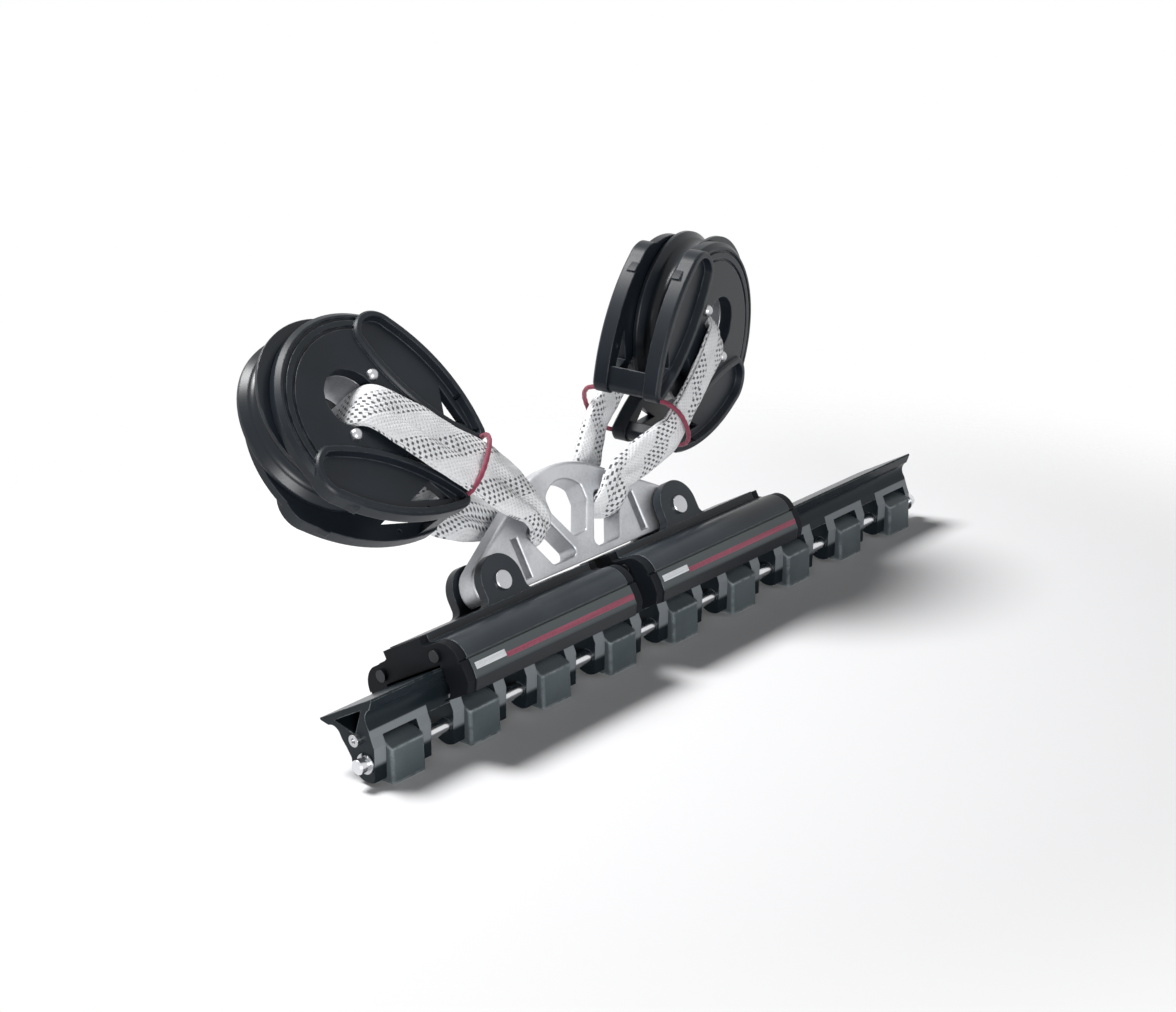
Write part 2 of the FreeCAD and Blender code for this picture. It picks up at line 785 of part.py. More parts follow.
def make_bridge(place):
    body = new_body("bridge")
    outline = new_sketch(body, "outline", "XZ_Plane")
    eye_tangent = (eye_x + s.eye_radius * slope_sine, s.pin_height + s.eye_radius * slope_cosine)
    arch_tangent = (s.arch_radius * slope_sine, arch_centre + s.arch_radius * slope_cosine)
    draw_outline(outline, [
        (eye_x + eye_side, s.bridge_bottom),
        (eye_tangent[0], eye_tangent[1], s.eye_radius, 1),
        arch_tangent,
        (-arch_tangent[0], arch_tangent[1], s.arch_radius, 1),
        (-eye_tangent[0], eye_tangent[1]),
        (-eye_x - eye_side, s.bridge_bottom, s.eye_radius, 1),
    ])
    pad_both(body, "plate", outline, s.bridge_half * 2)
    round_edges(body, "edges", s.bridge_edge,
                lambda edge: abs(edge.BoundBox.YLength) < 0.01 and edge.BoundBox.ZMax > s.bridge_bottom.number + 1)
    windows = new_sketch(body, "windows", "XZ_Plane")
    inner_run = band_run - s.side_window_width / 2
    outer_run = band_run + s.side_window_width / 2
    top_inner = along_band(inner_run, s.band_height)
    top_outer = along_band(outer_run, s.band_height)
    lean = slope_sine / slope_cosine
    low = s.side_window_bottom
    for side in (-1, 1):
        corners = [
            (side * top_inner[0], top_inner[1]),
            (side * top_outer[0], top_outer[1]),
            (side * (top_outer[0] - (top_outer[1] - low) * lean), low),
            (side * (top_inner[0] - (top_inner[1] - low) * lean), low),
        ]
        draw_outline(windows, corners)
        draw_box(windows, side * s.slot_offset - s.slot_width / 2, s.slot_bottom,
                 side * s.slot_offset + s.slot_width / 2, s.slot_top)
    rise = s.middle_window_top - s.middle_window_shoulder
    top_radius = (s.middle_window_half * s.middle_window_half + rise * rise) / (rise * 2)
    draw_outline(windows, [
        (-s.middle_window_foot, s.middle_window_bottom),
        (s.middle_window_foot, s.middle_window_bottom),
        (s.middle_window_half, s.middle_window_waist),
        (s.middle_window_half, s.middle_window_shoulder),
        (-s.middle_window_half, s.middle_window_shoulder, top_radius, 1),
        (-s.middle_window_half, s.middle_window_waist),
    ])
    cut_through(body, "window_cuts", windows)
    depth = s.bridge_half.number * 2
    slot_edge = s.slot_offset.number - s.slot_width.number
    round_edges(body, "window_corners", s.window_corner,
                lambda edge: runs_along(edge, Y_WAY) and abs(edge.Length - depth) < 0.01
                and abs(edge.CenterOfMass.x) < slot_edge
                and edge.CenterOfMass.z > s.bridge_bottom.number + 1)
    doc.recompute()
    sides = [face for face in body.Tip.Shape.Faces if abs(abs(face.CenterOfMass.y) - s.bridge_half.number) < 0.01]
    rims = [edge for face in sides for wire in face.Wires if not wire.isSame(face.OuterWire) for edge in wire.Edges]
    round_edges(body, "window_edges", s.window_edge, lambda edge: any(edge.isSame(rim) for rim in rims))
    eyes = new_sketch(body, "eyes", "XZ_Plane")
    for side in (-1, 1):
        draw_circle(eyes, eye_x * side, s.pin_height, s.pin_radius + s.running_gap)
    cut_through(body, "eye_holes", eyes)
    body.Placement = place


make_bridge(along_track(s.carriage_start.number))


# Loop blocks. A block's own frame has its origin on the sheave's axis, which runs along Y,
# and hangs its lobes and its loop towards -Z
def hang(side, lean, swing, twist, reach):
    """Placement of a block at the end of its loop, from the middle of the bridge's band."""
    band = along_track(s.carriage_start.number + side * band_x.number, band_z.number)
    turned = Rotation(Y_WAY, lean.number)
    turned = turned.multiply(Rotation(X_WAY, swing.number))
    turned = turned.multiply(Rotation(Vector(0, 0, 1), twist.number))
    away = turned.multVec(Vector(0, 0, reach.number))
    return band.multiply(Placement(away, turned))


def leaf(side, inset):
    """Corners of a lobe's leaf-shaped outline in the block's frame, drawn in by a margin."""
    tip_out = Vector(s.lobe_tip_outer.number, -s.lobe_tip_drop.number, 0)
    rear_out = Vector(s.lobe_rear_outer.number, -s.lobe_rear_drop.number, 0)
    rear_in = Vector(s.lobe_rear_inner.number, s.lobe_rear_drop.number, 0)
    tip_in = Vector(s.lobe_tip_inner.number, s.lobe_tip_rise.number - s.lobe_tip_drop.number, 0)
    outer = s.lobe_outer_radius.number
    inner = s.lobe_inner_radius.number
    corners = []
    for spot, start, end, bow, arriving in (
            (tip_out, tip_out, rear_out, outer, s.lobe_tip_radius.number),
            (rear_out, tip_out, rear_out, outer, outer),
            (rear_in, rear_in, tip_in, inner, s.lobe_rear_radius.number),
            (tip_in, rear_in, tip_in, inner, inner)):
        inward = (arc_centre(start, end, bow, 1) - spot).normalize()
        moved = spot + inward * inset
        corners.append((side * moved.x, moved.y, arriving - inset, side))
    return corners


def draw_half_round(sketch):
    """The round hole that the loop runs through, with a flat below its middle for the saddle."""
    draw_outline(sketch, [
        (s.hole_half, -s.saddle_drop),
        (0, s.hole_radius, s.hole_radius, 1),
        (-s.hole_half, -s.saddle_drop, s.hole_radius, 1),
    ])


def make_cheek(label, place):
    """A moulded cheek: bevelled disc with a rim groove, a hole for the loop and two raised lobes."""
    body = new_body(label)
    disc = new_sketch(body, "disc", "XY_Plane", -s.cheek_drop)
    draw_outline(disc, [
        (0, -s.cheek_outer),
        (s.second_groove_radius, -s.cheek_outer),
        (s.second_groove_radius, -s.cheek_outer + s.rim_groove_depth),
        (s.second_groove_radius + s.rim_groove_width, -s.cheek_outer + s.rim_groove_depth),
        (s.second_groove_radius + s.rim_groove_width, -s.cheek_outer),
        (s.rim_groove_radius, -s.cheek_outer),
        (s.rim_groove_radius, -s.cheek_outer + s.rim_groove_depth),
        (s.rim_groove_radius + s.rim_groove_width, -s.cheek_outer + s.rim_groove_depth),
        (s.rim_groove_radius + s.rim_groove_width, -s.cheek_outer),
        (s.cheek_radius - s.cheek_bevel, -s.cheek_outer),
        (s.cheek_radius, -s.cheek_outer + s.cheek_bevel),
        (s.cheek_radius, -s.cheek_inner),
        (0, -s.cheek_inner),
    ])
    turn(body, "disc_turned", disc, "V_Axis")
    front = new_sketch(body, "front", "XZ_Plane")
    wide = s.cheek_radius + s.cheek_bevel
    low = s.cheek_drop + s.cheek_radius + s.cheek_bevel
    draw_outline(front, [
        (wide, -s.cheek_front),
        (s.web_half, -s.cheek_front),
        (s.web_half - s.cheek_bevel, -s.web_drop),
        (s.cheek_bevel - s.web_half, -s.web_drop),
        (-s.web_half, -s.cheek_front),
        (-wide, -s.cheek_front),
        (-wide, -low),
        (wide, -low),
    ])
    cut_through(body, "front_cut", front)
    for name, side in (("left", -1), ("right", 1)):
        lobe = new_sketch(body, name + "_lobe", "XZ_Plane", s.cheek_inner)
        draw_outline(lobe, leaf(side, 0))
        pad_up(body, name + "_lobe_pad", lobe, s.lobe_outer - s.lobe_edge - s.cheek_inner)
        foot = new_sketch(body, name + "_crown_foot", "XZ_Plane", s.lobe_outer - s.lobe_edge)
        draw_outline(foot, leaf(side, 0))
        crown = new_sketch(body, name + "_crown_top", "XZ_Plane", s.lobe_outer)
        draw_outline(crown, leaf(side, s.lobe_edge.number))
        join_outlines(body, "AdditiveLoft", name + "_crown", foot, crown)
        mouth = new_sketch(body, name + "_recess_mouth", "XZ_Plane", s.lobe_outer)
        draw_outline(mouth, leaf(side, s.lobe_wall.number))
        floor = new_sketch(body, name + "_recess_floor", "XZ_Plane", s.lobe_outer - s.lobe_recess)
        draw_outline(floor, leaf(side, s.lobe_wall.number + s.lobe_edge.number))
        join_outlines(body, "SubtractiveLoft", name + "_recess", mouth, floor)
        window = new_sketch(body, name + "_window", "XZ_Plane")
        draw_outline(window, [
            (side * s.lobe_window_rear, -s.lobe_window_rear_drop),
            (side * s.lobe_window_waist, -s.lobe_window_waist_drop),
            (side * s.lobe_window_tip, -s.lobe_window_tip_drop),
        ])
        cut_through(body, name + "_window_cut", window)
    hole = new_sketch(body, "hole", "XZ_Plane")
    draw_half_round(hole)
    for side in (-1, 1):
        draw_circle(hole, s.hub_screw_offset * side, s.hub_screw_rise, s.hub_screw_radius + s.running_gap)
        draw_circle(hole, s.bar_offset * side, -s.bar_drop, s.bar_screw_radius + s.running_gap)
        draw_circle(hole, s.lobe_hole_offset * side, -s.lobe_hole_drop, s.lobe_hole_radius)
    cut_through(body, "holes", hole)
    saddle = new_sketch(body, "saddle", "YZ_Plane")
    draw_outline(saddle, [
        (-s.cheek_outer - s.cheek_bevel, -s.saddle_drop),
        (-s.cheek_outer - s.cheek_bevel, -s.saddle_drop - s.saddle_radius),
        (-s.cheek_outer, -s.saddle_drop - s.saddle_radius),
        (-s.cheek_outer + s.saddle_radius, -s.saddle_drop, s.saddle_radius, -1),
    ])
    rounding = add_feature(body, "Pocket", "saddle_cut", saddle, Length=s.hole_half * 2)
    rounding.SideType = "Symmetric"
    body.Placement = place


def make_hub(label, place):
    """The fixed hub: a flanged disc with a round hole whose flat side is the loop's saddle."""
    body = new_body(label)
    profile = new_sketch(body, "profile", "XY_Plane")
    draw_outline(profile, [
        (0, -s.cheek_inner + s.hub_gap),
        (s.hub_radius, -s.cheek_inner + s.hub_gap),
        (s.hub_radius, s.cheek_inner - s.hub_gap),
        (0, s.cheek_inner - s.hub_gap),
    ])
    turn(body, "core", profile, "V_Axis")
    hole = new_sketch(body, "hole", "XZ_Plane")
    draw_half_round(hole)
    for side in (-1, 1):
        draw_circle(hole, s.hub_screw_offset * side, s.hub_screw_rise, s.hub_screw_radius + s.running_gap)
    cut_through(body, "loop_hole", hole)
    body.Placement = place


def make_sheave(label, place):
    """The grooved wheel, open in the middle for the rollers."""
    body = new_body(label)
    bore = s.hub_radius + s.roller_gap + s.roller_radius * 2 + s.sheave_gap
    profile = new_sketch(body, "profile", "XY_Plane")
    draw_outline(profile, [
        (bore, -s.sheave_half),
        (s.sheave_radius, -s.sheave_half),
        (s.sheave_radius, -s.rim_half),
        (s.groove_radius, -s.groove_mouth),
        (s.groove_radius, s.groove_mouth, s.groove_half, -1),
        (s.sheave_radius, s.rim_half),
        (s.sheave_radius, s.sheave_half),
        (bore, s.sheave_half),
    ])
    turn(body, "wheel", profile, "V_Axis")
    body.Placement = place


def roller_ring():
    """Bearing rollers between the hub and the sheave."""
    rollers = []
    circle = s.hub_radius.number + s.roller_gap.number + s.roller_radius.number
    for index in range(int(s.roller_count.number)):
        angle = 2 * math.pi * index / s.roller_count.number
        foot = Vector(circle * math.cos(angle), -s.roller_half.number, circle * math.sin(angle))
        rollers.append(Part.makeCylinder(s.roller_radius.number, s.roller_half.number * 2, foot, Y_WAY))
    return rollers


def hub_screws():
    """Two bright screws with domed heads on both faces, one at each end of the saddle."""
    screws = []
    for side in (-1, 1):
        foot = Vector(side * s.hub_screw_offset.number, -s.cheek_outer.number, s.hub_screw_rise.number)
        screw = Part.makeCylinder(s.hub_screw_radius.number, s.cheek_outer.number * 2, foot, Y_WAY)
        for end in (-1, 1):
            face = Vector(foot.x, end * s.cheek_outer.number, foot.z)
            dome = Part.makeSphere(s.hub_screw_head.number, face, Vector(0, end, 0), 0, 90)
            screw = screw.fuse(dome)
        screws.append(screw.removeSplitter())
    return screws


def spacer_bars():
    """Two moulded bars that join the cheeks between the tips of their lobes, with the tips' outline."""
    bars = []
    reach = s.cheek_inner.number
    for side in (-1, 1):
        corners = leaf(side, s.bar_inset.number)
        spots = [Vector(x, y, 0) for x, y, radius, turned in corners]
        edges = []
        for index, (x, y, radius, turned) in enumerate(corners):
            edges.append(arc_between(spots[index - 1], spots[index], radius, turned).toShape())
        flat = Part.Face(Part.Wire(Part.sortEdges(edges)[0]))
        whole = flat.extrude(Vector(0, 0, reach * 2))
        whole.Placement = Placement(Vector(0, reach, 0), Rotation(X_WAY, 90))
        wide = s.cheek_radius.number * 2
        below = Part.makeBox(wide, wide, wide, Vector(-wide / 2, -wide / 2, -s.bar_top.number - wide))
        foot = Vector(side * s.bar_offset.number, -reach, -s.bar_drop.number)
        hole = Part.makeCylinder(s.bar_screw_radius.number + s.running_gap.number, reach * 2, foot, Y_WAY)
        bars.append(whole.common(below).cut(hole))
    return bars


def bar_screws():
    """The screw through each spacer bar, flush with the floor of the lobe's recess."""
    screws = []
    reach = s.lobe_outer.number - s.lobe_recess.number
    for side in (-1, 1):
        foot = Vector(side * s.bar_offset.number, -reach, -s.bar_drop.number)
        screws.append(Part.makeCylinder(s.bar_screw_radius.number, reach * 2, foot, Y_WAY))
    return screws


def loop_section(centre, across, through, width, thickness):
    """One station of the woven loop: a flat rectangle with cut corners."""
    cut = s.loop_corner.number
    half_w = width / 2
    half_t = thickness / 2
    spots = [
        (half_w, half_t - cut), (half_w - cut, half_t), (cut - half_w, half_t), (-half_w, half_t - cut),
        (-half_w, cut - half_t), (cut - half_w, -half_t), (half_w - cut, -half_t), (half_w, cut - half_t),
    ]
    corners = [centre + across * a + through * b for a, b in spots]
    return Part.makePolygon(corners + corners[:1])


def loop_stations(side, lean, swing, twist, reach):
    """Stations round one loop in the block's frame, from the hub along the near leg and back."""
    band_turn = Rotation(Y_WAY, side * s.arch_slope.number)
    block_turn = Rotation(Y_WAY, lean.number)
    block_turn = block_turn.multiply(Rotation(X_WAY, swing.number))
    block_turn = block_turn.multiply(Rotation(Vector(0, 0, 1), twist.number))
    to_block = block_turn.inverted().multiply(band_turn)
    band_across = to_block.multVec(X_WAY)
    band_near = to_block.multVec(Vector(0, -1, 0))
    band_down = to_block.multVec(Vector(0, 0, -1))
    half = s.loop_thickness.number / 2
    centre = Vector(0, 0, -reach.number)
    bend = s.bridge_half.number + s.band_clearance.number + half
    width = s.loop_width.number
    neck = s.loop_neck.number
    waist = s.loop_waist.number
    leg = s.cheek_outer.number + s.loop_gap.number + half
    turn_radius = s.saddle_radius.number + s.loop_gap.number + half
    stations = []
    near = Vector(0, -1, 0)
    for mirror in (1, -1):
        part = []
        block_side = near * mirror
        corner = block_side * (leg - turn_radius) - Vector(0, 0, s.saddle_drop.number + s.saddle_radius.number)
        for angle in (0, 30, 60, 90):
            turned = math.radians(angle)
            out = Vector(0, 0, math.cos(turned)) + block_side * math.sin(turned)
            part.append((corner + out * turn_radius, X_WAY, out, waist))
        tip = -s.line_drop.number
        part.append((block_side * leg + Vector(0, 0, tip / 2), X_WAY, block_side, width))
        part.append((block_side * leg + Vector(0, 0, tip), X_WAY, block_side, s.line_leg_width.number))
        for angle in (0, 30, 60):
            turned = math.radians(angle)
            out = band_near * (mirror * math.cos(turned)) + band_down * math.sin(turned)
            part.append((centre + out * bend, band_across, out, neck))
        stations.append(part)
    bottom = [(centre + band_down * bend, band_across, band_down, neck)]
    return stations[0] + bottom + stations[1][::-1]


def make_loop(label, side, lean, swing, twist, reach, place):
    """The woven loop, one closed band through the hub and round the bridge's band."""
    wires = []
    for centre, across, through, width in loop_stations(side, lean, swing, twist, reach):
        wires.append(loop_section(centre, across, through, width, s.loop_thickness.number))
    open_half = Part.makeLoft(wires, True, True)
    through_hub = Part.makeLoft([wires[-1], wires[0]], True, True)
    item = doc.addObject("Part::Feature", label)
    item.Label = label
    item.Shape = open_half.fuse(through_hub).removeSplitter()
    item.Placement = place
    pieces.append(item)


def retaining_lines():
    """A thin cord arched over each leg of the loop, its ends held in the tips of the lobes."""
    cords = []
    foot = s.lobe_outer.number + s.loop_gap.number
    rise = s.line_height.number - foot
    radius = (s.line_offset.number ** 2 + rise ** 2) / (2 * rise)
    centre = Vector(0, s.line_height.number - radius, -s.line_drop.number)
    opening = math.degrees(math.asin(s.line_offset.number / radius))
    for end in (-1, 1):
        ring = Part.makeTorus(radius, s.line_radius.number, Vector(0, 0, 0), Vector(0, 0, 1), 0, 360, opening * 2)
        ring.Placement = Placement(Vector(0, centre.y * end, centre.z), Rotation(Vector(0, 0, 1), 90 * end - opening))
        cords.append(ring)
    return cords


def make_block(label, side, lean, swing, twist, reach):
    place = hang(side, lean, swing, twist, reach)
    far = place.multiply(Placement(Vector(0, 0, 0), Rotation(Vector(0, 0, 1), 180)))
    make_cheek(label + "_near_cheek", place)
    make_cheek(label + "_far_cheek", far)
    make_hub(label + "_hub", place)
    make_sheave(label + "_sheave", place)
    make_group(label + "_rollers", roller_ring(), place)
    make_group(label + "_hub_screws", hub_screws(), place)
    make_group(label + "_spacer_bars", spacer_bars(), place)
    make_group(label + "_bar_screws", bar_screws(), place)
    make_loop(label + "_loop", side, lean, swing, twist, reach, place)
    make_group(label + "_retaining_lines", retaining_lines(), place)


make_block("left", -1, s.left_lean, s.left_swing, s.left_twist, s.left_reach)
make_block("right", 1, s.right_lean, s.right_swing, s.right_twist, s.right_reach)

doc.recompute()
for item in doc.Objects:
    if "Invalid" in item.State or "Error" in item.State:
        raise RuntimeError("%s did not rebuild: %s" % (item.Label, item.State))
for piece in pieces:
    if piece.Shape.isNull() or not piece.Shape.isValid():
        raise RuntimeError("%s has no valid shape" % piece.Label)

os.makedirs("parts", exist_ok=True)
for piece in pieces:
    piece.Shape.exportStep("parts/%s.step" % piece.Label)
    solids = len(piece.Shape.Solids)
    print("%-22s solids %3d volume %9.0f" % (piece.Label, solids, piece.Shape.Volume))
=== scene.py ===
import json
import math

import bpy
import numpy as np
from mathutils import Matrix, Vector


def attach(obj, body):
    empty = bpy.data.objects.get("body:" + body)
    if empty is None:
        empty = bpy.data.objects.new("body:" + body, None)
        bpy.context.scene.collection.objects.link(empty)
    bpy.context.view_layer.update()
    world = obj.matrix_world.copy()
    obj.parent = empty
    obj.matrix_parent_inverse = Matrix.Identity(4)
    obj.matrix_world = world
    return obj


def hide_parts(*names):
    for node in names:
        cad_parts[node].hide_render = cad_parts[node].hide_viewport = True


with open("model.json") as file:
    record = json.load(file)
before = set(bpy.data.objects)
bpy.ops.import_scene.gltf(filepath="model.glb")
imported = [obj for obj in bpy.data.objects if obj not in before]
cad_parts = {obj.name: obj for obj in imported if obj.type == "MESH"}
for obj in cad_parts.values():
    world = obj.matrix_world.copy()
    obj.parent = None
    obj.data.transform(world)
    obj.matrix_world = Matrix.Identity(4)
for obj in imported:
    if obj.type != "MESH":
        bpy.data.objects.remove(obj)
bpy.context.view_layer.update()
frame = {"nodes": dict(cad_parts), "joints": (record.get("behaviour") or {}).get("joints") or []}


# The stand for the picture: a pale deck that fades away at its rim, a wide soft lamp above and behind
# the track, a weaker one low down on the camera's side, and the camera at the photograph's angle.
class Wire:
    """One output of a shader node. Arithmetic on it adds Math nodes."""

    def __init__(self, finish, socket):
        self.finish = finish
        self.socket = socket

    def math(self, operation, other=0.0):
        """A Math node with this wire as its first value."""
        return self.finish.node("ShaderNodeMath", {"operation": operation}, {0: self, 1: other})

    def __add__(self, other):
        return self.math("ADD", other)

    def __radd__(self, other):
        return self + other

    def __sub__(self, other):
        return self.math("SUBTRACT", other)

    def __rsub__(self, other):
        return self.finish.node("ShaderNodeMath", {"operation": "SUBTRACT"}, {0: other, 1: self})

    def __mul__(self, other):
        return self.math("MULTIPLY", other)

    def __rmul__(self, other):
        return self * other

    def __truediv__(self, other):
        return self.math("DIVIDE", other)

    def __abs__(self):
        return self.math("ABSOLUTE")


class Finish:
    """A node material. One method makes every node, the others only name common uses of it."""

    def __init__(self, name, tree=None):
        if tree is None:
            self.material = bpy.data.materials.new(name)
            self.material.use_nodes = True
            tree = self.material.node_tree
        self.tree = tree
        self.tree.nodes.clear()

    def node(self, kind, settings=None, sockets=None, output=0):
        """A new node, with its settings and then the values or wires of its sockets."""
        made = self.tree.nodes.new(kind)
        for name, value in (settings or {}).items():
            setattr(made, name, value)
        for key, value in (sockets or {}).items():
            if isinstance(value, Wire):
                self.tree.links.new(value.socket, made.inputs[key])
            else:
                made.inputs[key].default_value = value
        return Wire(self, made.outputs[output]) if made.outputs else None

    def place(self):
        """Object coordinates, in metres."""
        return self.node("ShaderNodeTexCoord", output="Object")

    def true_normal(self):
        return self.node("ShaderNodeNewGeometry", output="True Normal")

    def seen(self):
        """1 where the camera sees the surface itself, in a gloss or through glass."""
        rays = [self.node("ShaderNodeLightPath", output="Is %s Ray" % kind)
                for kind in ("Camera", "Glossy", "Transmission")]
        return (rays[0] + rays[1] + rays[2]).math("MINIMUM", 1.0)

    def part(self, vector, letter):
        """One coordinate of a vector."""
        return self.node("ShaderNodeSeparateXYZ", None, {"Vector": vector}, letter)

    def dot(self, first, second):
        return self.node("ShaderNodeVectorMath", {"operation": "DOT_PRODUCT"}, {0: first, 1: second},
                         "Value")

    def stretched(self, scale):
        return self.node("ShaderNodeMapping", None, {"Vector": self.place(), "Scale": scale})

    def noise(self, scale, detail=3.0, vector=None):
        """Soft noise from 0 to 1; scale is in features per metre."""
        vector = vector or self.place()
        return self.node("ShaderNodeTexNoise", None, {"Vector": vector, "Scale": scale, "Detail": detail})

    def step(self, value, low, high):
        """0 at low, 1 at high, and smooth between; low may be the higher number."""
        return self.node("ShaderNodeMapRange", {"interpolation_type": "SMOOTHSTEP"},
                         {"Value": value, "From Min": low, "From Max": high})

    def blend(self, factor, first, second):
        """A mix of two colours. The colours of a Mix node are its sockets 6 and 7 and its output 2."""
        return self.node("ShaderNodeMix", {"data_type": "RGBA"}, {0: factor, 6: first, 7: second}, 2)

    def soft_normal(self, radius):
        """The surface's normal with its sharp edges rounded off."""
        return self.node("ShaderNodeBevel", {"samples": 6}, {"Radius": radius})

    def edges(self, rounded, full=0.16, faint=0.01):
        """1 on sharp edges, from how far the rounded normal turns away from the true one."""
        return self.step(1.0 - self.dot(rounded, self.true_normal()), faint, full)

    def bump(self, height, distance, normal=None, strength=1.0):
        sockets = {"Height": height, "Distance": distance, "Strength": strength}
        if normal is not None:
            sockets["Normal"] = normal
        return self.node("ShaderNodeBump", None, sockets)

    def surface(self, **sockets):
        """The Principled shader; words in its socket names are joined by an underscore."""
        named = {key.replace("_", " "): value for key, value in sockets.items()}
        return self.node("ShaderNodeBsdfPrincipled", None, named)

    def finish(self, shader):
        self.node("ShaderNodeOutputMaterial", None, {"Surface": shader})
        return self.material


def new_object(name, content):
    """Puts a mesh, a lamp or a camera in the scene."""
    made = bpy.data.objects.new(name, content)
    bpy.context.scene.collection.objects.link(made)
    return made


def mesh_of(name, corners, faces):
    """A mesh from its corners, and the corners of each face."""
    mesh = bpy.data.meshes.new(name)
    mesh.from_pydata([tuple(corner) for corner in corners], [], faces)
    mesh.update()
    return mesh


film_width = 36.0
camera_lens = 66.1
camera_place = Vector((-0.80398, -0.6443, 0.4203))
camera_right = Vector((0.6475, -0.7613, -0.0331)).normalized()
camera_top = Vector((0.265, 0.1843, 0.9465))
camera_back = camera_right.cross(camera_top).normalized()
camera_up = camera_back.cross(camera_right)
camera = new_object("camera", bpy.data.cameras.new("camera"))
camera.data.sensor_width = film_width
camera.data.lens = camera_lens
camera.matrix_world = (Matrix.Translation(camera_place)
                       @ Matrix((camera_right, camera_up, camera_back)).transposed().to_4x4())
bpy.context.scene.camera = camera

deck_reach = 1.2
deck_fade = (0.27, 0.48)
deck_colour = (0.92, 0.92, 0.93, 1)
deck_roughness = 0.9
deck_glow = 0.01
full_white = (1, 1, 1, 1)
deck_corners = [(deck_reach * x, deck_reach * y, 0) for x, y in ((-1, -1), (1, -1), (1, 1), (-1, 1))]
deck = new_object("deck", mesh_of("deck", deck_corners, [(0, 1, 2, 3)]))
pale = Finish("pale_deck")
plain = pale.surface(Base_Color=deck_colour, Roughness=deck_roughness)
glowing = pale.surface(Base_Color=deck_colour, Roughness=deck_roughness, Emission_Color=full_white,
                       Emission_Strength=deck_glow)
shown = pale.node("ShaderNodeMixShader", None, {0: pale.seen(), 1: plain, 2: glowing})
from_middle = pale.node("ShaderNodeVectorMath", {"operation": "LENGTH"}, {0: pale.place()}, "Value")
gone = pale.node("ShaderNodeBsdfTransparent")
faded = pale.node("ShaderNodeMixShader", None, {0: pale.step(from_middle, *deck_fade), 1: shown, 2: gone})
deck.data.materials.append(pale.finish(faded))

fill_colour = (0.94, 0.97, 1, 1)
fill_strength = 0.03
world = bpy.data.worlds.new("studio")
bpy.context.scene.world = world
world.use_nodes = True
sky = Finish("studio", world.node_tree)
fill = sky.node("ShaderNodeBackground", None, {"Color": fill_colour, "Strength": fill_strength})
backdrop = sky.node("ShaderNodeBackground", None, {"Color": full_white, "Strength": 1.0})
both = sky.node("ShaderNodeMixShader", None, {0: sky.seen(), 1: fill, 2: backdrop})
sky.node("ShaderNodeOutputWorld", None, {"Surface": both})


def soft_lamp(name, size, power, place):
    """A round lamp that points at the middle of the deck."""
    lamp = bpy.data.lights.new(name, "AREA")
    lamp.shape = "DISK"
    lamp.size = size
    lamp.energy = power
    made = new_object(name, lamp)
    made.location = place
    made.rotation_euler = (-Vector(place)).to_track_quat("-Z", "Y").to_euler()


soft_lamp("top_lamp", size=0.6, power=32.0, place=(-0.35, 0.75, 1.45))
soft_lamp("side_lamp", size=0.7, power=25.0, place=(-1.25, -1.5, 0.19))

bpy.context.scene.view_settings.view_transform = "Standard"


# The chocks: nine aluminium castings, hard anodised dark grey, with a fine blasted grain. Their edges
# are painted a little paler, partly wear where the coating is thin and partly a painted highlight.
# Each is screwed to the deck from below.
def dress(names, material):
    """Gives CAD nodes a finish."""
    for name in names:
        for slot in frame["nodes"][name].material_slots:
            slot.material = material


